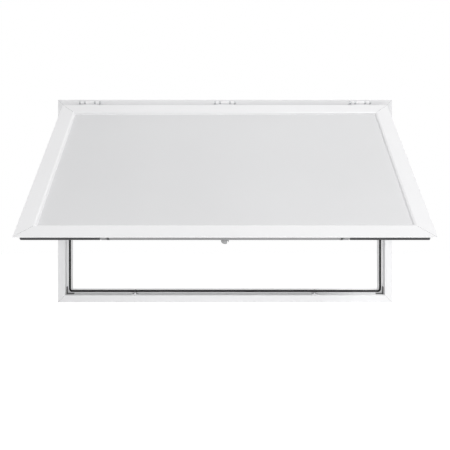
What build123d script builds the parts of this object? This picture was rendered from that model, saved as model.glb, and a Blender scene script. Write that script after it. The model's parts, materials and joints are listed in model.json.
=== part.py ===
from build123d import *
import os
from math import cos, hypot, radians, sin

os.makedirs("parts", exist_ok=True)

# A top-hung serving window for a kiosk or trailer wall: an aluminium frame with a lapping flange
# and a solid awning door, shown propped open.
# Sizes are in millimetres. X runs along the window, +Y goes into the wall and +Z is up.
# The origin lies on the back of the sill's flange, where it meets the wall, midway along it.

# Frame section
frame_w = 1524.0
frame_h = 924.0
flange_lap = 30.0          # part of the flange that laps the wall
flange_t = 3.0
face_step = 2.0            # flat front face beyond the sleeve's outer side
rebate_depth = 34.0        # from the front face back to the seat
rebate_draft = 5.0         # how far the rebate's wall leans inwards
seat_w = 14.0
rib_h = 5.0                # rib between the rebate's wall and the seal
rib_clear = 0.5            # rib to the seal
sleeve_depth = 69.0        # behind the face of the wall
frame_wall = 2.0
chamber_min = 1.2          # narrow end of the chamber
flange_round = 1.2
rebate_round = 1.5

# Screws through the sleeve into the wall's studs
screw_hole_d = 5.0
jamb_screw_inset = 242.0   # from the frame's ends
rail_screw_inner = 522.0   # inner pair on the head and sill, from the frame's sides
rail_screw_outer = 142.0   # outer pair

# Seal on the seat
seal_w = 9.0
seal_t = 7.0
seal_round = 2.2
seal_corner = 14.0

# Gussets in the rebate's corners
gusset_leg = 32.0
gusset_depth = 13.0
gusset_t = 2.0

# Fine grooves along the mitred corners
nick_w = 0.7
nick_depth = 0.35

# Door section, measured inwards from the edge and back from the front
door_side_inset = 27.0     # frame's edge to the door's edge, at the sides and the bottom
door_top_inset = 31.0
door_air = 5.0             # between the door's flange and the frame's face
door_t = 28.0
door_flange_t = 2.0
door_flange_w = 16.0
rail_face = 58.0
rail_box = 34.0            # width of the hollow box behind the face
rail_wall = 2.0
lip_run = (6.0, 10.0)      # bevelled lip, inwards
lip_drop = (3.0, 10.0)     # bevelled lip, back
lip_t = 2.5
lip_back = ((-1.0, 2.5), (4.2, 4.8))   # back of the lip, from the end of the flat face
back_lip = 14.0
back_lip_t = 2.5
edge_round = 1.0
face_round = 2.5
panel_gap = 0.5
skin_t = 1.2

# Groove along the underside of the door
groove_w = 8.0
groove_depth = 7.0
groove_back = 2.0          # wall between the groove and the door's back
strip_w = 14.5
strip_proud = 1.3
strip_end = 19.0           # from the door's side
strip_clear = 0.3

# Hinges
hinge_from_edge = 121.0
knuckles = (14.0, 36.0, 14.0)   # frame leaf, door leaf, frame leaf
collar_len = 9.0           # between the knuckles and at both ends
collar_d = 12.0
collar_clear = 0.2
collar_bevel = 0.8
hinge_rise = 16.0          # hinge axis above the door's top edge
barrel_r = 8.0
barrel_gap = 0.5           # between the barrel and the frame's face
leaf_t = 2.4
door_leaf_drop = 13.0      # leaf below the door's top edge
frame_leaf_drop = 15.6     # leaf below the hinge axis
pin_d = 5.0
pin_clear = 0.05

# Two-point latch
striker_inset = 324.0      # from the door's side
striker_d = 9.0
striker_reach = 12.0       # past the door's lower side
striker_base = (28.0, 2.5) # length, thickness
striker_round = 1.5
post_clear = 1.0           # striker's post to the fork
fork_cheek = 2.5
fork_body = 20.5
fork_top = 4.0
fork_rise = 20.0
fork_depth = 14.0
fork_clear = 0.2
fork_hood = 18.0           # how far the hood stands behind the door
fork_hood_h = 14.0
fork_round = 1.0
hood_round = 2.0
rod_d = 6.0
rod_clear = 0.4
case_len = 48.0
case_clear = 0.3

# Knob
knob_rise = 46.0           # above the door's lower edge
rose_size = (60.0, 34.0, 3.0)
rose_round = 8.5
rose_bevel = 1.0
rose_clear = 0.3
knob_d = 28.0
knob_reach = 39.0
knob_neck = 0.75           # neck's and waist's share of the grip's radius
knob_waist = 0.6
knob_waist_at = 0.4        # share of the reach
knob_flare = 4.5           # from the waist to the grip
knob_rounds = (1.0, 3.0, 2.0, 4.5)     # foot, waist, back and front of the grip
knob_slot = (7.5, 10.0)    # slot beside the thumb piece, from the axis
knob_slot_depth = 15.0
thumb_short = 6.0          # thumb piece ends this far before the grip
spindle_d = 10.0
spindle_clear = 0.1

# Gas struts
strut_inset = 21.0         # from the opening's side
strut_stud = (38.0, 51.0)  # on the frame: behind the wall's face, below the hinge axis
strut_foot = (38.0, 400.0) # on the closed door: behind the wall's face, below the hinge axis
strut_eye_d = 16.0
strut_eye_t = 10.0
strut_pin_d = 8.0
strut_neck = 20.0          # from an eye's centre to the tube or the rod
strut_tube_d = 18.0
strut_tube_wall = 1.4
strut_tube_len = 292.0
strut_rod_d = 8.0
strut_piston_t = 12.0
strut_tube_round = 2.0
strut_pin_past = 2.0       # pin beyond the strut's eye
strut_end_gap = 0.8        # frame's stud to the strut's eye
plate_t = 3.0
plate_clear = 0.5          # bracket's plate behind the seal
plate_size = (24.0, 36.0)
plate_round = 4.0
ear_t = 4.0
ear_round = 5.0

door_open = 51.0           # degrees, as shown
cut = 1.0                  # how far a cutter overruns

# Places worked out from the sizes above
low = -flange_lap / 2
high = low + frame_h
face_w = flange_lap + face_step
seat_y = rebate_depth - flange_t
seat_v = face_w + rebate_draft
clear_v = seat_v + seat_w
rib_y = seat_y - rib_h
rib_v = clear_v - seal_w - rib_clear
strut_x = frame_w / 2 - clear_v - strut_inset
screw_y = (seat_y + sleeve_depth) / 2
door_w = frame_w - 2 * door_side_inset
door_low = low + door_side_inset
door_high = high - door_top_inset
door_front = -(flange_t + door_air + door_flange_t)
door_back = door_front + door_t
flange_back = door_front + door_flange_t
box_in = door_flange_w + rail_box
under = door_low + door_flange_w
lip_in = rail_face + lip_run[1]
panel_back = door_t - back_lip_t
striker_x = door_w / 2 - striker_inset
fork_mouth = striker_d + 2 * post_clear
striker_y = door_back - fork_depth + fork_cheek + post_clear + striker_d / 2
hinge_len = sum(knuckles) + 2 * collar_len
hinge_y = -(flange_t + barrel_gap + barrel_r)
hinge_z = door_high + hinge_rise
hinge_axis = Axis((0, hinge_y, hinge_z), (-1, 0, 0))
hinge_places = {"left": -(door_w / 2 - hinge_from_edge), "centre": 0.0,
                "right": door_w / 2 - hinge_from_edge}
groove_y = door_back - groove_back - groove_w / 2
hands = {"left": -1, "right": 1}


# Helpers

def block(xs, ys, zs):
    size = [b - a for a, b in (xs, ys, zs)]
    middle = [(a + b) / 2 for a, b in (xs, ys, zs)]
    return Pos(*middle) * Box(*size)


def span(hand, near, far):
    # two distances from the middle, as a rising pair on one hand
    return tuple(sorted((hand * near, hand * far)))


def rod_x(x0, x1, y, z, r):
    return extrude(Plane((x0, y, z), x_dir=(0, 1, 0), z_dir=(1, 0, 0)) * Circle(r), x1 - x0)


def outline(points, radii=None):
    if radii is None:
        return make_face(Polyline(*points, close=True))
    return make_face(FilletPolyline(*points, radius=radii, close=True))


def ring_member(section, side, width, height, z_low, y_front, reach):
    # a section drawn as (inwards, back) runs along one side of a rectangle, mitred at both ends
    inward = {"bottom": Vector(0, 0, 1), "top": Vector(0, 0, -1),
              "left": Vector(1, 0, 0), "right": Vector(-1, 0, 0)}[side]
    flat = side in ("bottom", "top")
    half, offset = (width / 2, height / 2) if flat else (height / 2, width / 2)
    middle = Vector(0, y_front, z_low + height / 2) - inward * offset
    along = inward.cross(Vector(0, 1, 0))
    bar = extrude(Plane(middle, x_dir=inward, z_dir=along) * section, half, both=True)
    mitre = outline([(-half, 0), (half, 0), (half - reach, reach), (-half + reach, reach)])
    cutter = Plane(middle, x_dir=along, z_dir=along.cross(inward)) * mitre
    return bar & extrude(cutter, sleeve_depth + door_t, both=True)


def rebate_v(y):
    # distance of the leaning rebate wall from the frame's edge
    return face_w + rebate_draft * (y + flange_t) / rebate_depth


def opened(shape):
    return shape.rotate(hinge_axis, door_open)


def turned(point):
    # a point of the closed door, as (y, z), where the open door carries it
    y, z = point[0] - hinge_y, point[1] - hinge_z
    c, s = cos(radians(door_open)), sin(radians(door_open))
    return hinge_y + y * c + z * s, hinge_z - y * s + z * c


# Frame

def frame_section():
    lean = frame_wall * hypot(1, rebate_draft / rebate_depth)
    side = flange_lap + frame_wall
    chamber_y = rebate_depth * (chamber_min + side + lean - face_w) / rebate_draft - flange_t
    floor_y = seat_y + frame_wall
    body = outline(
        [(0, -flange_t), (face_w, -flange_t), (rebate_v(rib_y), rib_y), (rib_v, rib_y),
         (rib_v, seat_y), (clear_v, seat_y),
         (clear_v, sleeve_depth), (flange_lap, sleeve_depth), (flange_lap, 0), (0, 0)],
        [flange_round, rebate_round, 0, rib_clear, 0, frame_wall / 2, 0, 0, 0, 0])
    chamber = outline(
        [(side, chamber_y), (side + chamber_min, chamber_y), (rebate_v(floor_y) - lean, floor_y),
         (clear_v - frame_wall, floor_y), (clear_v - frame_wall, sleeve_depth - frame_wall),
         (side, sleeve_depth - frame_wall)])
    return body - chamber


def corner_nicks(width, height, z_low, y_front, reach):
    # diamond bars along the four mitres, half sunk into the front face
    nicks = []
    for sx in (-1, 1):
        for sz in (-1, 1):
            corner = Vector(sx * width / 2, y_front, z_low + height / 2 + sz * height / 2)
            along = Vector(-sx, 0, -sz).normalized()
            tip = make_face(Polyline((-nick_w / 2, 0), (0, -nick_depth), (nick_w / 2, 0), (0, nick_depth),
                                     close=True))
            start = Plane(corner, x_dir=along.cross(Vector(0, 1, 0)), z_dir=along)
            nicks.append(extrude(start * tip, reach * hypot(1, 1)))
    return nicks


def nicked(member, nicks):
    for nick in nicks:
        member -= nick
    return member


def frame_member(side):
    member = ring_member(frame_section(), side, frame_w, frame_h, low, 0, clear_v + frame_wall)
    member = nicked(member, corner_nicks(frame_w, frame_h, low, -flange_t, face_w))
    r = screw_hole_d / 2
    if side in ("left", "right"):
        xs = span(hands[side], frame_w / 2 - clear_v - cut, frame_w / 2 - flange_lap + cut)
        for z in (low + jamb_screw_inset, high - jamb_screw_inset):
            member -= rod_x(*xs, screw_y, z, r)
        return member
    z0 = low if side == "bottom" else high - clear_v - cut
    for inset in (rail_screw_inner, rail_screw_outer):
        for s in (-1, 1):
            member -= Pos(s * (frame_w / 2 - inset), screw_y, z0) * Cylinder(
                r, clear_v + cut, align=(Align.CENTER, Align.CENTER, Align.MIN))
    return member


def frame_seal():
    # one moulded loop along the inner edge of the seat
    def loop(v, r):
        return RectangleRounded(frame_w - 2 * v, frame_h - 2 * v, r)

    ring = loop(clear_v - seal_w, seal_corner) - loop(clear_v, seal_corner - seal_w)
    place = Plane((0, seat_y, low + frame_h / 2), x_dir=(1, 0, 0), z_dir=(0, -1, 0))
    seal = extrude(place * ring, seal_t)
    return fillet(seal.faces().sort_by(Axis.Y)[0].edges(), seal_round)


def gusset(side_x, side_z):
    # an angle in one corner of the rebate, with a leg along each leaning wall
    front, back = rib_y - gusset_depth, rib_y
    t = gusset_t * hypot(1, rebate_draft / rebate_depth)
    strip = outline([(rebate_v(front), front), (rebate_v(front) + t, front),
                     (rebate_v(back) + t, back), (rebate_v(back), back)])
    out = rebate_v(back) + gusset_leg
    corner_x, corner_z = side_x * frame_w / 2, low + frame_h / 2 + side_z * frame_h / 2
    room = block(sorted((corner_x, corner_x - side_x * out)), (front, back),
                 sorted((corner_z, corner_z - side_z * out)))
    sides = ("right" if side_x > 0 else "left", "top" if side_z > 0 else "bottom")
    legs = [ring_member(strip, side, frame_w, frame_h, low, 0, out) & room for side in sides]
    return legs[0] + legs[1]


# Hinges

def knuckle_spans(x):
    spans = []
    at = x - hinge_len / 2
    for length in knuckles:
        spans.append((at, at + length))
        at += length + collar_len
    return spans


def hinge_leaf(x, plate, own):
    # own is 0 for the leaf with the end knuckles and 1 for the leaf with the middle one
    room = barrel_r + collar_clear
    leaf = plate
    for i, (a, b) in enumerate(knuckle_spans(x)):
        if i % 2 == own:
            leaf += rod_x(a, b, hinge_y, hinge_z, barrel_r)
        else:
            leaf -= block((a - collar_len, b + collar_len), (hinge_y - room, 0),
                          (hinge_z - room, hinge_z + room))
    return leaf - rod_x(x - hinge_len, x + hinge_len, hinge_y, hinge_z, pin_d / 2 + pin_clear)


def hinge_leaf_frame(x):
    xs = (x - hinge_len / 2, x + hinge_len / 2)
    plate = block(xs, (-flange_t - leaf_t, -flange_t), (hinge_z - frame_leaf_drop, hinge_z))
    return hinge_leaf(x, plate, 0)


def hinge_leaf_door(x):
    xs = (x - hinge_len / 2, x + hinge_len / 2)
    plate = block(xs, (flange_back, flange_back + leaf_t), (door_high - door_leaf_drop, hinge_z))
    return hinge_leaf(x, plate, 1)


def hinge_pin(x):
    # collars fill the gaps between the knuckles and cap both ends
    spans = knuckle_spans(x)
    starts = [spans[0][0] - collar_len, *[b for a, b in spans]]
    pin = rod_x(starts[0], starts[-1] + collar_len, hinge_y, hinge_z, pin_d / 2)
    for a in starts:
        collar = rod_x(a + collar_clear, a + collar_len - collar_clear, hinge_y, hinge_z, collar_d / 2)
        pin += chamfer(collar.edges().filter_by(GeomType.CIRCLE), collar_bevel)
    return pin


# Door

def door_section(grooved):
    f, b = door_flange_w, box_in
    back_bend, back_fold = [(rail_face + run, drop) for run, drop in lip_back]
    shell = [(0, 0), (rail_face, 0), (rail_face + lip_run[0], lip_drop[0]), (lip_in, lip_drop[1]),
             (lip_in - lip_t, lip_drop[1]), back_fold, back_bend, (b, lip_t), (b, panel_back),
             (b + back_lip, panel_back), (b + back_lip, door_t), (f, door_t)]
    radii = [edge_round, face_round, 0, 0, 0, 0, 0, 0, 0, 0, 0, 0]
    hollow = [(f + rail_wall, door_flange_t + rail_wall), (b - rail_wall, door_flange_t + rail_wall),
              (b - rail_wall, door_t - rail_wall)]
    if grooved:
        deep = f + groove_depth
        back, front = door_t - groove_back, door_t - groove_back - groove_w
        shell += [(f, back), (deep, back), (deep, front), (f, front)]
        radii += [0] * 4
        hollow += [(deep + rail_wall, door_t - rail_wall), (deep + rail_wall, front - rail_wall),
                   (f + rail_wall, front - rail_wall)]
    else:
        hollow += [(f + rail_wall, door_t - rail_wall)]
    shell += [(f, door_flange_t), (0, door_flange_t)]
    radii += [0, 0]
    return outline(shell, radii) - outline(hollow)


def door_member(side):
    grooved = side == "bottom"
    height = door_high - door_low
    member = ring_member(door_section(grooved), side, door_w, height, door_low, door_front,
                         lip_in + back_lip)
    member = nicked(member, corner_nicks(door_w, height, door_low, door_front, rail_face))
    if grooved:
        member -= spindle_bore()
        for hand in hands.values():
            member -= fork_mortise(hand)
    return member


def door_layer(t0, t1):
    inset = box_in + panel_gap
    return block((-door_w / 2 + inset, door_w / 2 - inset), (door_front + t0, door_front + t1),
                 (door_low + inset, door_high - inset))


def door_strip(hand):
    # the head covers the groove and the stem fills it
    near = fork_span(1)[1] + strip_clear
    far = door_w / 2 - strip_end
    head = block(span(hand, near, far), (door_back - strip_w, door_back),
                 (under - strip_proud, under))
    half = groove_w / 2 - strip_clear
    stem_far = door_w / 2 - door_flange_w - groove_depth - strip_clear
    stem = block(span(hand, near, stem_far), (groove_y - half, groove_y + half),
                 (under, under + groove_depth - strip_clear))
    return head + stem


# Two-point latch and knob

def fork_span(hand):
    inner = striker_x - fork_mouth / 2 - fork_cheek
    return span(hand, inner, striker_x + fork_mouth / 2 + fork_body)


def fork_mortise(hand):
    a, b = fork_span(hand)
    return block((a - fork_clear, b + fork_clear), (door_back - fork_depth - fork_clear, door_back + cut),
                 (under - cut, under + fork_rise + fork_clear))


def latch_fork(hand):
    # a mouth for the striker's post under a hood on the back of the rail
    body = block(fork_span(hand), (door_back - fork_depth, door_back), (under, under + fork_rise))
    body = fillet(body.edges().filter_by(Axis.X), fork_round)
    hood_low = under + fork_rise - fork_top
    hood = block(fork_span(hand), (door_back, door_back + fork_hood), (hood_low, hood_low + fork_hood_h))
    hood_edges = hood.edges().filter_by(Axis.X).group_by(Axis.Y)[-1]
    body += fillet(hood_edges, hood_round)
    mouth = block(span(hand, striker_x - fork_mouth / 2, striker_x + fork_mouth / 2),
                  (door_back - fork_depth + fork_cheek, door_back + cut),
                  (under - cut, under + fork_rise - fork_top))
    return body - mouth


def latch_rod(hand):
    z = under + groove_depth - rod_clear - rod_d / 2
    inner = striker_x - fork_mouth / 2 - fork_cheek
    return rod_x(*span(hand, case_len / 2, inner), groove_y, z, rod_d / 2)


def latch_case():
    half = groove_w / 2 - case_clear
    return block((-case_len / 2, case_len / 2), (groove_y - half, groove_y + half),
                 (under, under + groove_depth - case_clear))


def latch_cover():
    # a cover under the groove between the two forks
    half = fork_span(1)[0] - strip_clear
    return block((-half, half), (door_back - strip_w, door_back), (under - strip_proud, under))


def striker(hand):
    y0, y1 = door_back - strip_w, door_back
    length, t = striker_base
    foot = outline([(y0, low + rebate_v(y0)), (y1, low + rebate_v(y1)),
                    (y1, low + rebate_v(y1) + t), (y0, low + rebate_v(y0) + t)])
    place = Plane((hand * striker_x, 0, 0), x_dir=(0, 1, 0), z_dir=(1, 0, 0))
    base = extrude(place * foot, length / 2, both=True)
    foot_z = low + rebate_v(striker_y) + t / 2
    post = Pos(hand * striker_x, striker_y, foot_z) * Cylinder(
        striker_d / 2, under + striker_reach - foot_z, align=(Align.CENTER, Align.CENTER, Align.MIN))
    return base + fillet(post.edges().sort_by(Axis.Z)[-1], striker_round)


def knob_spot():
    return Plane((0, door_back, door_low + knob_rise), x_dir=(1, 0, 0), z_dir=(0, 1, 0))


def spindle_bore():
    # a clearance hole through the rail's back wall only
    return extrude(knob_spot() * Circle(spindle_d / 2 + spindle_clear), rail_wall + cut, both=True)


def lock_rose():
    w, h, t = rose_size
    plate = extrude(knob_spot() * RectangleRounded(w, h, rose_round), t)
    plate = chamfer(plate.faces().sort_by(Axis.Y)[-1].edges(), rose_bevel)
    return plate - extrude(knob_spot() * Circle(spindle_d / 2 + spindle_clear), t)


def lock_knob():
    # revolved about the spindle, with a waist behind the grip and a thumb piece cut free at one side
    r, t = knob_d / 2, rose_size[2]
    foot = t + rose_clear
    waist = t + (knob_reach - t) * knob_waist_at
    profile = outline(
        [(0, -rail_wall), (spindle_d / 2, -rail_wall), (spindle_d / 2, foot), (r * knob_neck, foot),
         (r * knob_waist, waist), (r, waist + knob_flare), (r, knob_reach), (0, knob_reach)],
        [0, 0, 0, *knob_rounds, 0])
    spot = knob_spot().origin
    place = Plane(spot, x_dir=(1, 0, 0), z_dir=(0, 0, 1))
    knob = revolve(place * profile, Axis(spot, (0, 1, 0)))
    end, tall = spot.Y + knob_reach, (spot.Z - r, spot.Z + r)
    knob -= block(knob_slot, (end - knob_slot_depth, end), tall)
    return knob - block((knob_slot[0], r), (end - thumb_short, end), tall)


# Gas struts

def strut_ends():
    stud = (strut_stud[0], hinge_z - strut_stud[1])
    foot = turned((strut_foot[0], hinge_z - strut_foot[1]))
    return stud, foot


def strut_plane(hand, at_stud):
    # X of the plane points along the strut, away from the eye
    stud, foot = strut_ends()
    a, b = (stud, foot) if at_stud else (foot, stud)
    return Plane((hand * strut_x, a[0], a[1]), x_dir=(0, b[0] - a[0], b[1] - a[1]), z_dir=(1, 0, 0))


def strut_eye(place):
    eye = extrude(place * Circle(strut_eye_d / 2), strut_eye_t / 2, both=True)
    neck = place * Plane.YZ * Circle(strut_eye_t / 2)
    return eye + extrude(neck, strut_neck)


def eye_bore(place):
    return extrude(place * Circle(strut_pin_d / 2 + pin_clear), strut_eye_t, both=True)


def strut_length(closed):
    stud, foot = strut_ends()
    if closed:
        foot = (strut_foot[0], hinge_z - strut_foot[1])
    return hypot(foot[0] - stud[0], foot[1] - stud[1])


def strut_rod(hand):
    place = strut_plane(hand, False)
    tube_mouth = strut_length(False) - strut_neck - strut_tube_len
    end = tube_mouth + 2 * strut_piston_t
    across = Plane(place.from_local_coords(Vector(strut_neck, 0, 0)), x_dir=place.z_dir,
                   z_dir=place.x_dir)
    rod = extrude(across * Circle(strut_rod_d / 2), end - strut_neck)
    piston_at = Plane(place.from_local_coords(Vector(end - strut_piston_t, 0, 0)),
                      x_dir=place.z_dir, z_dir=place.x_dir)
    bore_r = strut_tube_d / 2 - strut_tube_wall
    piston = extrude(piston_at * Circle(bore_r - pin_clear), strut_piston_t)
    return strut_eye(place) + rod + piston - eye_bore(place)


def strut_cylinder(hand):
    place = strut_plane(hand, True)
    r = strut_tube_d / 2
    base = Plane(place.from_local_coords(Vector(strut_neck, 0, 0)), x_dir=place.z_dir,
                 z_dir=place.x_dir)
    tube = extrude(base * Circle(r), strut_tube_len)
    tube = fillet(tube.edges().filter_by(GeomType.CIRCLE), strut_tube_round)
    guide = strut_piston_t / 2
    cavity = base.offset(guide) * Circle(r - strut_tube_wall)
    tube -= extrude(cavity, strut_tube_len - 2 * guide)
    tube -= extrude(base.offset(strut_tube_len - 2 * guide) * Circle(strut_rod_d / 2 + pin_clear),
                    3 * guide)
    return strut_eye(place) + tube - eye_bore(place)


def strut_bracket_frame(hand):
    # a plate on the sleeve with a stud that stops just short of the strut's eye
    y, z = strut_ends()[0]
    inner = frame_w / 2 - clear_v
    w, h = plate_size
    front = seat_y + plate_clear
    plate = block(span(hand, inner - plate_t, inner), (front, front + w), (z - h + w / 2, z + w / 2))
    plate = fillet(plate.edges().filter_by(Axis.X), plate_round)
    tip = strut_x + strut_eye_t / 2 + strut_end_gap
    return plate + rod_x(*span(hand, tip, inner), y, z, strut_pin_d / 2)


def strut_bracket_door(hand):
    # an angle on the closed door's stile whose ear carries the strut's pin
    y, z = strut_foot[0], hinge_z - strut_foot[1]
    w, h = plate_size
    ear_near = strut_x + strut_eye_t / 2 + pin_clear
    foot = block(span(hand, ear_near + ear_t - w, ear_near + ear_t), (door_back, door_back + plate_t),
                 (z - h / 2, z + h / 2))
    ear = block(span(hand, ear_near, ear_near + ear_t), (door_back, y + strut_eye_d / 2),
                (z - strut_eye_d / 2, z + strut_eye_d / 2))
    ear = fillet(ear.edges().filter_by(Axis.X).group_by(Axis.Y)[-1], ear_round)
    pin = rod_x(*span(hand, strut_x - strut_eye_t / 2 - strut_pin_past, ear_near + ear_t), y, z,
                strut_pin_d / 2)
    return foot + ear + pin


# Nodes

frame_nodes = {
    "frame_sill": frame_member("bottom"),
    "frame_head": frame_member("top"),
    "frame_jamb_left": frame_member("left"),
    "frame_jamb_right": frame_member("right"),
    "frame_seal": frame_seal(),
}
door_nodes = {
    "door_rail_bottom": door_member("bottom"),
    "door_rail_top": door_member("top"),
    "door_stile_left": door_member("left"),
    "door_stile_right": door_member("right"),
    "door_skin_outer": door_layer(lip_drop[1], lip_drop[1] + skin_t),
    "door_core": door_layer(lip_drop[1] + skin_t, panel_back - skin_t),
    "door_skin_inner": door_layer(panel_back - skin_t, panel_back),
    "latch_case": latch_case(),
    "latch_cover": latch_cover(),
    "lock_rose": lock_rose(),
    "lock_knob": lock_knob(),
}
strut_nodes = {}
for hand_name, hand in hands.items():
    frame_nodes[f"corner_gusset_upper_{hand_name}"] = gusset(hand, 1)
    frame_nodes[f"corner_gusset_lower_{hand_name}"] = gusset(hand, -1)
    frame_nodes[f"striker_{hand_name}"] = striker(hand)
    frame_nodes[f"strut_bracket_frame_{hand_name}"] = strut_bracket_frame(hand)
    door_nodes[f"strut_bracket_door_{hand_name}"] = strut_bracket_door(hand)
    door_nodes[f"bottom_seal_{hand_name}"] = door_strip(hand)
    door_nodes[f"latch_fork_{hand_name}"] = latch_fork(hand)
    door_nodes[f"latch_rod_{hand_name}"] = latch_rod(hand)
    strut_nodes[f"strut_rod_{hand_name}"] = strut_rod(hand)
    strut_nodes[f"strut_cylinder_{hand_name}"] = strut_cylinder(hand)
for place_name, x in hinge_places.items():
    frame_nodes[f"hinge_leaf_frame_{place_name}"] = hinge_leaf_frame(x)
    frame_nodes[f"hinge_pin_{place_name}"] = hinge_pin(x)
    door_nodes[f"hinge_leaf_door_{place_name}"] = hinge_leaf_door(x)
door_nodes = {name: opened(shape) for name, shape in door_nodes.items()}

for name, shape in {**frame_nodes, **door_nodes, **strut_nodes}.items():
    export_step(shape, f"parts/{name}.step")
print("hinge axis", hinge_y, hinge_z, "strut open", strut_length(False), "closed", strut_length(True))
print("strut ends", strut_ends())
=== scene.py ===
import json
import math
import bmesh
import bpy
from mathutils import Matrix, Vector


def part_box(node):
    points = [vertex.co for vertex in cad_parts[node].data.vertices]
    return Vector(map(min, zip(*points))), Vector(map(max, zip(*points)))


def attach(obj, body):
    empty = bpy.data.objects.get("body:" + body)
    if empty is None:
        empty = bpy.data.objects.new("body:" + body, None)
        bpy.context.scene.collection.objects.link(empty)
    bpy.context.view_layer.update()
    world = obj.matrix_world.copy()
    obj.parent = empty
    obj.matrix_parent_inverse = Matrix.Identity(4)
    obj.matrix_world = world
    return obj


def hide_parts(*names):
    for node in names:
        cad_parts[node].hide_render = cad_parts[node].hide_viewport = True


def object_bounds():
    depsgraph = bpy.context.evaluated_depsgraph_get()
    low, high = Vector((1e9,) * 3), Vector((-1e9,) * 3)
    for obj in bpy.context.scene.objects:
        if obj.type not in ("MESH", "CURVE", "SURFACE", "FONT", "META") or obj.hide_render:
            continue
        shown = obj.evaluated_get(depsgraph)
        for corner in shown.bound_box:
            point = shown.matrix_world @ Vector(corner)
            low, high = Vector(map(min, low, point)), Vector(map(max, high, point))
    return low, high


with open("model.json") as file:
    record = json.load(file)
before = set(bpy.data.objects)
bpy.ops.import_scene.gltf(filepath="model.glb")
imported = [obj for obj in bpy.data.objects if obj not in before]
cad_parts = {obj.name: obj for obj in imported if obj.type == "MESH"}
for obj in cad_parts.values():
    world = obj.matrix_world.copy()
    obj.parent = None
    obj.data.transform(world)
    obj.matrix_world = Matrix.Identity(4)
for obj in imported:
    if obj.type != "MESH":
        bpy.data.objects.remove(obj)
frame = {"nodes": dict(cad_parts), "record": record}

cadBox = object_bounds()
nodes = frame["nodes"]
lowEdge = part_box("frame_sill")[0].z
hands = {"left": -1, "right": 1}
print("frame loaded:", len(nodes), "nodes")


def addObject(name, data):
    obj = bpy.data.objects.new(name, data)
    bpy.context.scene.collection.objects.link(obj)
    return obj


# Camera, level and square on to the window, a little above its middle
camera = {
    "distance": 2.855,     # in front of the wall's face
    "height": 0.526,       # above the frame's lower edge
    "lens": 50.0,
    "sensor": 36.0,
    "shiftPixels": 38.0,   # the picture's middle lies this far below the eye line
    "picture": 450.0,      # pixels across
    "farEnd": 60.0,
}


def placeCamera(c):
    data = bpy.data.cameras.new("photoCamera")
    data.lens = c["lens"]
    data.sensor_width = c["sensor"]
    data.shift_y = -c["shiftPixels"] / c["picture"]
    data.clip_end = c["farEnd"]
    obj = addObject("photoCamera", data)
    obj.location = (0, -c["distance"], lowEdge + c["height"])
    obj.rotation_euler = (math.radians(90), 0, 0)
    bpy.context.scene.camera = obj


placeCamera(camera)
print("camera placed")


# Studio: a white world, a pale floor well below the window, and four soft lamps
studio = {
    "white": (1, 1, 1, 1),
    "worldLight": 0.37,
    "worldSeen": 1.0,      # what the camera sees of the world
    "floorDrop": 1.05,     # floor below the window
    "floorSize": 24.0,
    "floorColour": 0.86,
    "floorRoughness": 0.9,
    "floorWhite": 0.63,    # what the camera sees of the floor besides its light
    "lamps": {
        "keyLamp": {"place": (2.5, -2.6, 6.2), "size": 2.2, "watts": 220},
        "lowLamp": {"place": (0.4, -1.6, -0.98), "size": 1.2, "watts": 16},
        "frontLamp": {"place": (-0.2, -4.2, 0.4), "size": 1.0, "watts": 34},
        "rimLamp": {"place": (0.4, 3.2, 3.8), "size": 2.6, "watts": 34},
    },
}


def seenOnly(tree, lit, seen):
    # one look for what lights the window, another for what is seen straight, in gloss or through glass
    path = tree.nodes.new("ShaderNodeLightPath")
    switch = path.outputs["Is Camera Ray"]
    for ray in ("Is Glossy Ray", "Is Transmission Ray"):
        either = tree.nodes.new("ShaderNodeMath")
        either.operation = "MAXIMUM"
        tree.links.new(switch, either.inputs[0])
        tree.links.new(path.outputs[ray], either.inputs[1])
        switch = either.outputs[0]
    mix = tree.nodes.new("ShaderNodeMixShader")
    for source, socket in zip((switch, lit, seen), mix.inputs):
        tree.links.new(source, socket)
    return mix.outputs[0]


def buildWorld(s):
    world = bpy.data.worlds.new("studioWorld")
    bpy.context.scene.world = world
    world.use_nodes = True
    tree = world.node_tree
    soft = tree.nodes["Background"]
    plain = tree.nodes.new("ShaderNodeBackground")
    for light, strength in ((soft, s["worldLight"]), (plain, s["worldSeen"])):
        light.inputs["Color"].default_value = s["white"]
        light.inputs["Strength"].default_value = strength
    look = seenOnly(tree, soft.outputs[0], plain.outputs[0])
    tree.links.new(look, tree.nodes["World Output"].inputs["Surface"])


def paperFinish(s):
    paper = bpy.data.materials.new("palePaper")
    paper.use_nodes = True
    tree = paper.node_tree
    shader = tree.nodes["Principled BSDF"]
    shader.inputs["Base Color"].default_value = (s["floorColour"],) * 3 + (1,)
    shader.inputs["Roughness"].default_value = s["floorRoughness"]
    glow = tree.nodes.new("ShaderNodeEmission")
    glow.inputs["Strength"].default_value = s["floorWhite"]
    both = tree.nodes.new("ShaderNodeAddShader")
    tree.links.new(shader.outputs[0], both.inputs[0])
    tree.links.new(glow.outputs[0], both.inputs[1])
    look = seenOnly(tree, shader.outputs[0], both.outputs[0])
    tree.links.new(look, tree.nodes["Material Output"].inputs["Surface"])
    return paper


def buildFloor(s):
    bm = bmesh.new()
    bmesh.ops.create_grid(bm, x_segments=2, y_segments=2, size=s["floorSize"] / 2)
    bmesh.ops.translate(bm, vec=(0, 0, lowEdge - s["floorDrop"]), verts=bm.verts)
    mesh = bpy.data.meshes.new("studioFloor")
    bm.to_mesh(mesh)
    bm.free()
    floor = addObject("studioFloor", mesh)
    mesh.materials.append(paperFinish(s))


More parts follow.
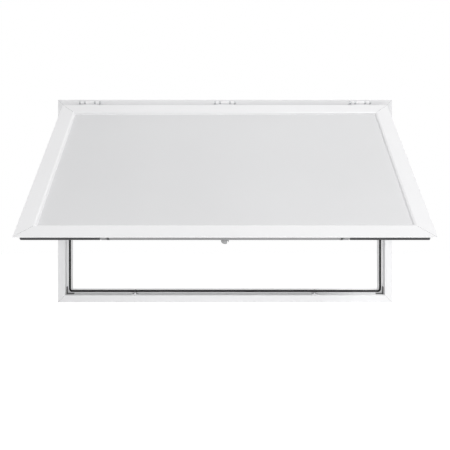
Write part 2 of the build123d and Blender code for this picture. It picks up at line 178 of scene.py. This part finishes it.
def placeLamps(lamps):
    middle = (cadBox[0] + cadBox[1]) / 2
    for name, lamp in lamps.items():
        data = bpy.data.lights.new(name, "AREA")
        data.shape = "SQUARE"
        data.size = lamp["size"]
        data.energy = lamp["watts"]
        obj = addObject(name, data)
        obj.location = lamp["place"]
        obj.visible_camera = False
        obj.rotation_euler = (Vector(lamp["place"]) - middle).to_track_quat("Z", "Y").to_euler()


buildWorld(studio)
buildFloor(studio)
placeLamps(studio["lamps"])
bpy.context.scene.view_settings.view_transform = "Standard"
print("studio built")


# Finishes: colour and how far it drifts, gloss, and how fine and high the grain is
finishes = {
    "white_coat": {"colour": (0.86, 0.86, 0.868), "spread": 0.012, "roughness": 0.4,
                   "peel": 520, "height": 0.012},
    "panel_coat": {"colour": (0.715, 0.716, 0.724), "spread": 0.01, "roughness": 0.44,
                   "peel": 340, "height": 0.008},
    "cast_grey": {"colour": (0.52, 0.53, 0.54), "spread": 0.05, "roughness": 0.42,
                  "peel": 900, "height": 0.08, "metallic": 0.55},
    "knobGrey": {"colour": (0.31, 0.313, 0.318), "spread": 0.03, "roughness": 0.36,
                 "peel": 900, "height": 0.08, "metallic": 0.35},
    "latchGrey": {"colour": (0.235, 0.236, 0.24), "spread": 0.02, "roughness": 0.45,
                  "peel": 900, "height": 0.08, "metallic": 0.2},
    "strut_black": {"colour": (0.018, 0.018, 0.019), "spread": 0.004, "roughness": 0.34,
                    "peel": 600, "height": 0.03},
    "black_plastic": {"colour": (0.022, 0.022, 0.023), "spread": 0.006, "roughness": 0.55,
                      "peel": 1500, "height": 0.12},
    "cornerPlastic": {"colour": (0.1, 0.1, 0.102), "spread": 0.012, "roughness": 0.5,
                      "peel": 1500, "height": 0.12},
    "black_rubber": {"colour": (0.012, 0.012, 0.0125), "spread": 0.005, "roughness": 0.72,
                     "peel": 1100, "height": 0.1, "specular": 0.25},
    "stripRubber": {"colour": (0.055, 0.055, 0.057), "spread": 0.012, "roughness": 0.68,
                    "peel": 1100, "height": 0.1},
    "bright_steel": {"colour": (0.56, 0.56, 0.57), "spread": 0.06, "roughness": 0.32,
                     "peel": 700, "height": 0.04, "metallic": 1.0},
    "strut_chrome": {"colour": (0.74, 0.74, 0.76), "spread": 0.02, "roughness": 0.09,
                     "peel": 300, "height": 0.01, "metallic": 1.0},
    "panel_core": {"colour": (0.62, 0.48, 0.3), "spread": 0.06, "roughness": 0.9,
                   "peel": 300, "height": 0.3},
}
# pieces whose tone differs from the rest of their slot
ownFinish = {
    "latch_cover": "latchGrey",
    "latch_fork": "latchGrey",
    "latch_case": "latchGrey",
    "lock_knob": "knobGrey",
    "lock_rose": "knobGrey",
    "bottom_seal": "stripRubber",
    "corner_gusset": "cornerPlastic",
}
# what all finishes share: each noise as its scale and detail
surface = {
    "metallic": 0.0,
    "specular": 0.5,
    "drift": (2.3, 3),
    "driftBand": 0.2,      # the tone runs over this much of the noise on either side of its middle
    "gloss": (9.0, 5),
    "glossShares": (0.88, 1.14),
    "peelDetail": 2,
    "peelDepth": 0.001,
}


def coatFinish(name, f):
    # a sprayed or plated skin: slow drifts of tone, a fine peel in the surface, uneven gloss
    material = bpy.data.materials.new(name)
    material.use_nodes = True
    tree = material.node_tree
    shader = tree.nodes["Principled BSDF"]
    shader.inputs["Metallic"].default_value = f.get("metallic", surface["metallic"])
    shader.inputs["Specular IOR Level"].default_value = f.get("specular", surface["specular"])
    where = tree.nodes.new("ShaderNodeTexCoord")

    def noise(scale, detail):
        node = tree.nodes.new("ShaderNodeTexNoise")
        node.inputs["Scale"].default_value = scale
        node.inputs["Detail"].default_value = detail
        tree.links.new(where.outputs["Object"], node.inputs["Vector"])
        return node.outputs["Fac"]

    ramp = tree.nodes.new("ShaderNodeValToRGB")
    for element, sign in zip(ramp.color_ramp.elements, (-1, 1)):
        element.color = tuple(c + sign * f["spread"] for c in f["colour"]) + (1,)
        element.position = 0.5 + sign * surface["driftBand"]
    tree.links.new(noise(*surface["drift"]), ramp.inputs["Fac"])
    tree.links.new(ramp.outputs["Color"], shader.inputs["Base Color"])

    band = tree.nodes.new("ShaderNodeMapRange")
    for socket, share in zip(("To Min", "To Max"), surface["glossShares"]):
        band.inputs[socket].default_value = f["roughness"] * share
    tree.links.new(noise(*surface["gloss"]), band.inputs["Value"])
    tree.links.new(band.outputs["Result"], shader.inputs["Roughness"])

    bump = tree.nodes.new("ShaderNodeBump")
    bump.inputs["Strength"].default_value = f["height"]
    bump.inputs["Distance"].default_value = surface["peelDepth"]
    tree.links.new(noise(f["peel"], surface["peelDetail"]), bump.inputs["Height"])
    tree.links.new(bump.outputs["Normal"], shader.inputs["Normal"])
    return material


finishOf = {name: coatFinish(name, f) for name, f in finishes.items()}
slotOf = {part["node"]: part["material_slot"] for part in frame["record"]["subparts"]}
for name, obj in nodes.items():
    own = [finish for start, finish in ownFinish.items() if name.startswith(start)]
    obj.data.materials.clear()
    obj.data.materials.append(finishOf[own[0] if own else slotOf[name]])
print("finishes made:", len(finishOf))


# Pieces on the door are modelled where they are when it is shut, and turned out with it
joints = {joint["name"]: joint for joint in frame["record"]["behaviour"]["joints"]}
pinPlace = Vector(joints["door_hinge"]["pos_m"])
shutToOpen = Matrix.Rotation(math.radians(min(joints["door_hinge"]["range_deg"])), 4, "X")
doorTurn = Matrix.Translation(pinPlace) @ shutToOpen @ Matrix.Translation(-pinPlace)


def facing(place, normal):
    # a frame at a place whose Z looks along the normal
    turn = Vector(normal).to_track_quat("Z", "Y").to_matrix().to_4x4()
    return Matrix.Translation(place) @ turn


def arc(centre, radius, start, end, steps):
    # points along a round stretch, from one angle to the other in degrees
    turns = [math.radians(start + (end - start) * i / steps) for i in range(steps + 1)]
    return [(centre[0] + radius * math.cos(a), centre[1] + radius * math.sin(a)) for a in turns]


def addBox(bm, size):
    made = bmesh.ops.create_cube(bm, size=1.0)["verts"]
    bmesh.ops.scale(bm, vec=size, verts=made)
    return made


def loopEdges(bm, ring):
    return [bm.edges.new((ring[i], ring[(i + 1) % len(ring)])) for i in range(len(ring))]


def turnedPart(bm, profile, sides=40):
    # a closed profile of (along, out) turned about Z
    ring = [bm.verts.new((out, 0, along)) for along, out in profile]
    bmesh.ops.spin(bm, geom=ring + loopEdges(bm, ring), cent=(0, 0, 0), axis=(0, 0, 1), dvec=(0, 0, 0),
                   angle=2 * math.pi, steps=sides, use_merge=True, use_duplicate=False)


def addPiece(name, bm, finish, body, turn=None, sharp=35):
    bmesh.ops.remove_doubles(bm, verts=bm.verts, dist=1e-6)
    bmesh.ops.recalc_face_normals(bm, faces=bm.faces)
    if turn is not None:
        bmesh.ops.transform(bm, matrix=turn, verts=bm.verts)
    for face in bm.faces:
        face.smooth = True
    mesh = bpy.data.meshes.new(name)
    bm.to_mesh(mesh)
    bm.free()
    mesh.set_sharp_from_angle(angle=math.radians(sharp))
    obj = addObject(name, mesh)
    mesh.materials.append(finishOf[finish])
    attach(obj, body)
    return obj


# Screws: a domed head with a six-lobed socket
screw = {
    "radius": 0.0032,
    "height": 0.0016,
    "dome": ((0.45, 1.0), (0.8, 0.88), (1.0, 0.68)),   # rings, as shares of height and radius
    "rim": 0.12,           # flat around the socket, as a share of the radius
    "socket": 0.0017,
    "depth": 0.0009,
    "lobe": 0.74,          # the socket's ridges stand in to this share of its radius
    "sides": 24,
}
# where screws sit on one side of the window, each with its size; they face as "faces" says
screwGroups = {
    "frameScrews": {           # in the plates that carry the struts
        "finish": "bright_steel", "slot": "bright_steel", "body": "frame", "turn": None,
        "faces": (-1, 0, 0),
        "spots": (((0.708, 0.049, 0.8275), 1.0), ((0.708, 0.0505, 0.8475), 1.0)),
    },
    "doorScrews": {            # in the feet of the struts, the latch's hoods and the lock's rose
        "finish": "bright_steel", "slot": "bright_steel", "body": "door", "turn": doorTurn,
        "faces": (0, 1, 0),
        "spots": (((0.6815, 0.021, 0.506), 1.0), ((0.6815, 0.021, 0.482), 1.0), ((0.411, 0.036, 0.051), 0.9),
                  ((0.429, 0.036, 0.051), 0.9), ((0.022, 0.021, 0.058), 0.9)),
    },
    "coverScrews": {           # along the latch's cover
        "finish": "latchGrey", "slot": "cast_grey", "body": "door", "turn": doorTurn,
        "faces": (0, 0, -1),
        "spots": tuple(((along, 0.0068, 0.0267), 0.75) for along in (0.06, 0.17, 0.28, 0.39)),
    },
}


def toRing(vert, radius, height):
    flat = Vector((vert.co.x, vert.co.y, 0)).normalized() * radius
    vert.co = Vector((flat.x, flat.y, height))


def addScrew(bm, place, normal, size):
    s = screw
    before = set(bm.verts)
    base = bmesh.ops.create_circle(bm, cap_ends=True, radius=s["radius"], segments=s["sides"])["verts"]
    top = base[0].link_faces[0]
    for lift, share in s["dome"]:
        top = bmesh.ops.extrude_discrete_faces(bm, faces=[top])["faces"][0]
        for v in top.verts:
            toRing(v, s["radius"] * share, s["height"] * lift)
    bmesh.ops.inset_individual(bm, faces=[top], thickness=s["radius"] * s["rim"])
    for i, v in enumerate(top.verts):
        share = s["lobe"] if i % 4 < 2 else 1.0
        toRing(v, s["socket"] * share, s["height"])
    floor = bmesh.ops.extrude_discrete_faces(bm, faces=[top])["faces"][0]
    bmesh.ops.translate(bm, vec=(0, 0, -s["depth"]), verts=floor.verts[:])
    head = [v for v in bm.verts if v not in before]
    bmesh.ops.scale(bm, vec=(size, size, size), verts=head)
    bmesh.ops.transform(bm, matrix=facing(place, normal), verts=head)


def buildScrews(groups):
    for name, g in groups.items():
        bm = bmesh.new()
        alongX, alongY, alongZ = g["faces"]
        for hand in hands.values():
            for (x, y, z), size in g["spots"]:
                addScrew(bm, (hand * x, y, z), (hand * alongX, alongY, alongZ), size)
        bmesh.ops.holes_fill(bm, edges=bm.edges, sides=screw["sides"])
        addPiece(name, bm, g["finish"], g["body"], g["turn"])


buildScrews(screwGroups)
print("screws made")


# Seal around the opening: a base strip with a round bulb and a thin fin
seal = {
    "corner": 0.014,       # outer corner's radius
    "steps": 8,            # around each corner
    "sharp": 50,
    # across the seal: inwards from its outer side, and forward of the seat's face
    "base": ((0.0002, 0.0), (0.0002, 0.0016)),
    "bulb": {"centre": (0.0042, 0.0034), "radius": 0.0033, "steps": 8,
             "neck": 27},  # the bulb goes round to this many degrees below its middle
    "fin": ((0.0078, 0.0018), (0.0084, 0.0046), (0.0089, 0.0045), (0.0088, 0.0)),
}


def buildSeal(s):
    bm = bmesh.new()
    near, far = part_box("frame_seal")
    left, right, low, high = near.x, far.x, near.z, far.z
    seat = far.y
    r = s["corner"]
    b = s["bulb"]
    bulb = arc(b["centre"], b["radius"], 180 + b["neck"], -b["neck"], b["steps"])
    profile = [*s["base"], *bulb, *s["fin"]]
    ring = [bm.verts.new((left + r, seat - forward, low + inward)) for inward, forward in profile]
    edges = loopEdges(bm, ring)
    across, up = right - left - 2 * r, high - low - 2 * r
    # each straight run, and the centre of the corner that follows it
    runs = (
        ((across, 0, 0), (right - r, 0, low + r)),
        ((0, 0, up), (right - r, 0, high - r)),
        ((-across, 0, 0), (left + r, 0, high - r)),
        ((0, 0, -up), (left + r, 0, low + r)),
    )
    for run, centre in runs:
        out = bmesh.ops.extrude_edge_only(bm, edges=edges)["geom"]
        verts = [g for g in out if isinstance(g, bmesh.types.BMVert)]
        edges = [g for g in out if isinstance(g, bmesh.types.BMEdge)]
        bmesh.ops.translate(bm, vec=run, verts=verts)
        last = bmesh.ops.spin(bm, geom=verts + edges, cent=centre, axis=(0, -1, 0), dvec=(0, 0, 0),
                              angle=math.pi / 2, steps=s["steps"], use_duplicate=False)["geom_last"]
        edges = [g for g in last if isinstance(g, bmesh.types.BMEdge)]
    piece = addPiece("frameSeal", bm, "black_rubber", "frame", sharp=s["sharp"])
    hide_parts("frame_seal")


buildSeal(seal)
print("seal made")


# Three fins along each half of the door's lower seal
fins = {
    "near": 0.4378,        # ends, from the window's middle
    "far": 0.7158,
    "across": (0.0052, 0.0107, 0.0162),
    "thick": 0.0011,
    "reach": 0.0011,       # out of the seal's face, and as far into it
    "tip": 0.45,           # share of the thickness at the outer edge
    "face": 0.0267,
}


def buildFins(f):
    bm = bmesh.new()
    length = f["far"] - f["near"]
    for hand in hands.values():
        for y in f["across"]:
            made = addBox(bm, (length, f["thick"], f["reach"] * 2))
            for v in made:
                if v.co.z < 0:
                    v.co.y *= f["tip"]
            bmesh.ops.translate(bm, vec=(hand * (f["near"] + length / 2), y, f["face"]), verts=made)
    addPiece("sealFins", bm, "stripRubber", "door", doorTurn)


buildFins(fins)
print("seal fins made")


# Struts: a rolled crimp and a wiper where the rod leaves the tube, a collar or socket at each neck,
# and a clip around each eye
strut = {
    "stud": (0.038, 0.843),    # y and z of the upper eye
    "mouth": 0.312,            # from the upper eye to the tube's end
    "eyeRadius": 0.008,
    "clipHalf": 0.0022,
    "clipThick": 0.0009,
    # profiles as (along, out): the first two from the tube's mouth, the others from an eye
    "crimp": ((-0.0125, 0.0090), (-0.0118, 0.0093), (-0.0108, 0.0093), (-0.0101, 0.0090)),
    "wiper": ((-0.0016, 0.0042), (-0.0016, 0.0080), (0.0006, 0.0074), (0.0010, 0.0048), (0.0006, 0.0042)),
    "collar": ((0.0148, 0.0049), (0.0148, 0.0066), (0.0162, 0.0076), (0.0198, 0.0076), (0.0204, 0.0066),
               (0.0204, 0.0049)),
    "socket": ((0.0148, 0.0049), (0.0148, 0.0060), (0.0160, 0.0066), (0.0200, 0.0066), (0.0208, 0.0056),
               (0.0208, 0.0041)),
}


def buildStruts(s):
    inner, outer, half = s["eyeRadius"], s["eyeRadius"] + s["clipThick"], s["clipHalf"]
    for name in hands:
        tube, rod = f"strut_cylinder_{name}", f"strut_rod_{name}"
        foot = Vector(joints[f"strut_pivot_{name}"]["pos_m"])
        stud = Vector((foot.x, *s["stud"]))
        along = (foot - stud).normalized()

        bm = bmesh.new()
        for profile in (s["crimp"], s["wiper"]):
            turnedPart(bm, [(s["mouth"] + step, out) for step, out in profile])
        turnedPart(bm, s["collar"])
        bmesh.ops.transform(bm, matrix=facing(stud, along), verts=bm.verts)
        addPiece(f"strutCaps_{name}", bm, "black_plastic", tube)

        bm = bmesh.new()
        turnedPart(bm, s["socket"])
        bmesh.ops.transform(bm, matrix=facing(foot, -along), verts=bm.verts)
        addPiece(f"strutSocket_{name}", bm, "black_plastic", rod)

        for end, centre, body in (("top", stud, tube), ("foot", foot, rod)):
            bm = bmesh.new()
            turnedPart(bm, ((-half, inner), (-half, outer), (half, outer), (half, inner)))
            bmesh.ops.transform(bm, matrix=facing(centre, (1, 0, 0)), verts=bm.verts)
            addPiece(f"strutClip_{end}_{name}", bm, "bright_steel", body)


buildStruts(strut)
print("strut fittings made")


# Painted shade: a black sleeve on each striker's post, rounded over its top, darkens the post where it shows
# in the latch's mouth, standing in for the shade inside the mouth
postShade = {
    "y": 0.012,            # the post's axis
    "from": 0.0275,
    "cap": 0.0002,         # over the post's top
    "inner": 0.0042,
    "outer": 0.00475,
    "round": 0.0012,
    "steps": 4,
    "hole": 0.0002,        # left at the turning axis
}


def buildPostShades(s):
    for name in hands:
        near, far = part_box(f"striker_{name}")
        top = far.z + s["cap"]
        middle = top - s["round"]
        rim = arc((middle, s["outer"] - s["round"]), s["round"], 90, 0, s["steps"])
        bm = bmesh.new()
        turnedPart(bm, ((s["from"], s["inner"]), (s["from"], s["outer"]), *rim, (top, s["hole"]),
                        (middle, s["hole"]), (middle, s["inner"])))
        bmesh.ops.translate(bm, vec=((near.x + far.x) / 2, s["y"], 0), verts=bm.verts)
        # the black sleeve is painted shade for the latch's mouth
        addPiece(f"strikerShadeSleeve_{name}", bm, "black_plastic", "frame")


buildPostShades(postShade)
print("striker sleeves made")


# Painted shade: a dark hairline in each mitre of the frame's flange and the door's face stands in for the
# shadow line of the mitre's joint
mitreShades = {
    "frameMitreShade": {"half": cadBox[1].x, "low": cadBox[0].z, "high": cadBox[1].z, "reach": 0.032,
                    "face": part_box("frame_sill")[0].y, "body": "frame", "turn": None},
    "doorMitreShade": {"half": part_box("door_rail_bottom")[1].x, "low": 0.012, "high": 0.878, "reach": 0.058,
                   "face": -0.010, "body": "door", "turn": doorTurn},
}
shadeLine = {
    "wide": 0.00035,
    "deep": 0.0006,
    "proud": 0.00003,
    "inset": 0.0015,       # short of the mitre's ends
}


def buildMitreShades(groups, h):
    for name, g in groups.items():
        bm = bmesh.new()
        length = (g["reach"] - 2 * h["inset"]) * math.sqrt(2)
        for hand in hands.values():
            for edge, up in ((g["low"], 1), (g["high"], -1)):
                made = addBox(bm, (length, h["deep"], h["wide"]))
                lean = Matrix.Rotation(math.radians(45) * hand * up, 3, "Y")
                bmesh.ops.rotate(bm, cent=(0, 0, 0), matrix=lean, verts=made)
                centre = (hand * (g["half"] - g["reach"] / 2), g["face"] + h["deep"] / 2 - h["proud"],
                          edge + up * g["reach"] / 2)
                bmesh.ops.translate(bm, vec=centre, verts=made)
        # dark strip: painted shade of the mitre's joint
        addPiece(name, bm, "stripRubber", g["body"], g["turn"])


buildMitreShades(mitreShades, shadeLine)
print("mitre lines made")


# Painted shade: a black liner in the mouth of each latch fork stands in for the shade inside the mouth
slotShade = {
    "x": 0.411,
    "half": 0.0054,        # half the liner's width
    "inner": 0.005,        # half the width between its sides
    "front": 0.0066,
    "back": 0.018,
    "hoodBack": 0.0345,
    "low": 0.0282,
    "roof": 0.0435,        # underside of the liner's roof
    "high": 0.0439,
}


def buildSlotShades(p):
    half, inner, front, back = p["half"], p["inner"], p["front"], p["back"]
    thick = half - inner
    shape = ((-half, back), (-half, front), (half, front), (half, back),
             (inner, back), (inner, front + thick), (-inner, front + thick), (-inner, back))
    for name, hand in hands.items():
        bm = bmesh.new()
        face = bm.faces.new([bm.verts.new((hand * p["x"] + x, y, p["low"])) for x, y in shape])
        out = bmesh.ops.extrude_face_region(bm, geom=[face])["geom"]
        raised = [v for v in out if isinstance(v, bmesh.types.BMVert)]
        # the sides end halfway into the roof
        bmesh.ops.translate(bm, vec=(0, 0, (p["roof"] + p["high"]) / 2 - p["low"]), verts=raised)
        roof = addBox(bm, (2 * half, p["hoodBack"] - front, p["high"] - p["roof"]))
        centre = (hand * p["x"], (p["hoodBack"] + front) / 2, (p["high"] + p["roof"]) / 2)
        bmesh.ops.translate(bm, vec=centre, verts=roof)
        # black liner: painted shade in the fork's mouth
        addPiece(f"latchSlotShade_{name}", bm, "black_plastic", "door", doorTurn)


buildSlotShades(slotShade)
print("latch pads made")


# Knob: fine ribs around the grip, and a key plug whose keyway in the end is a black block, painted shade
# standing in for the dark inside of the slot
knob = {
    "z": 0.058,
    "doorBack": 0.018,
    "radius": 0.014,
    "ribs": 44,
    "ribSides": 6,
    "from": 0.0245,        # ribs start this far behind the door
    "to": 0.0325,
    "proud": 0.00035,
    "wide": 0.0009,
    "slotSide": 0.0068,    # no ribs past here, where the thumb piece's slot is
    "end": 0.039,
    "plugSides": 32,
    # along from the knob's end, and out
    "plug": ((-0.004, 0.0002), (-0.004, 0.0052), (0.0, 0.0052), (0.0005, 0.0047), (0.0005, 0.0024),
             (0.0001, 0.0021), (0.0001, 0.0002)),
    "keyway": (0.0011, 0.0006, 0.0064),
    "keywayOut": 0.0004,
    "keywayRound": 0.00018,
}


def buildRibs(k):
    bm = bmesh.new()
    for i in range(k["ribs"]):
        angle = 2 * math.pi * i / k["ribs"]
        side = Vector((math.cos(angle), 0, math.sin(angle)))
        if side.x * k["radius"] > k["slotSide"]:
            continue
        made = bmesh.ops.create_cone(bm, cap_ends=True, segments=k["ribSides"], radius1=k["wide"] / 2,
                                     radius2=k["wide"] / 2, depth=k["to"] - k["from"])["verts"]
        bmesh.ops.rotate(bm, cent=(0, 0, 0), matrix=Matrix.Rotation(math.radians(90), 3, "X"), verts=made)
        middle = side * (k["radius"] - k["wide"] / 2 + k["proud"])
        middle += Vector((0, k["doorBack"] + (k["from"] + k["to"]) / 2, k["z"]))
        bmesh.ops.translate(bm, vec=middle, verts=made)
    addPiece("knobRibs", bm, "knobGrey", "door", doorTurn)


def buildPlug(k):
    end = Vector((0, k["doorBack"] + k["end"], k["z"]))
    bm = bmesh.new()
    turnedPart(bm, k["plug"], k["plugSides"])
    bmesh.ops.transform(bm, matrix=facing(end, (0, 1, 0)), verts=bm.verts)
    addPiece("keyPlug", bm, "bright_steel", "door", doorTurn)

    # the keyway is a black block proud of the plug's end: painted shade for the slot's dark inside
    bm = bmesh.new()
    addBox(bm, k["keyway"])
    bmesh.ops.bevel(bm, geom=bm.edges[:], offset=k["keywayRound"], segments=2, affect="EDGES", profile=0.5,
                    material=-1)
    bmesh.ops.translate(bm, vec=end + Vector((0, k["keywayOut"], 0)), verts=bm.verts)
    addPiece("keywayShade", bm, "black_plastic", "door", doorTurn)


buildRibs(knob)
buildPlug(knob)
print("knob made")
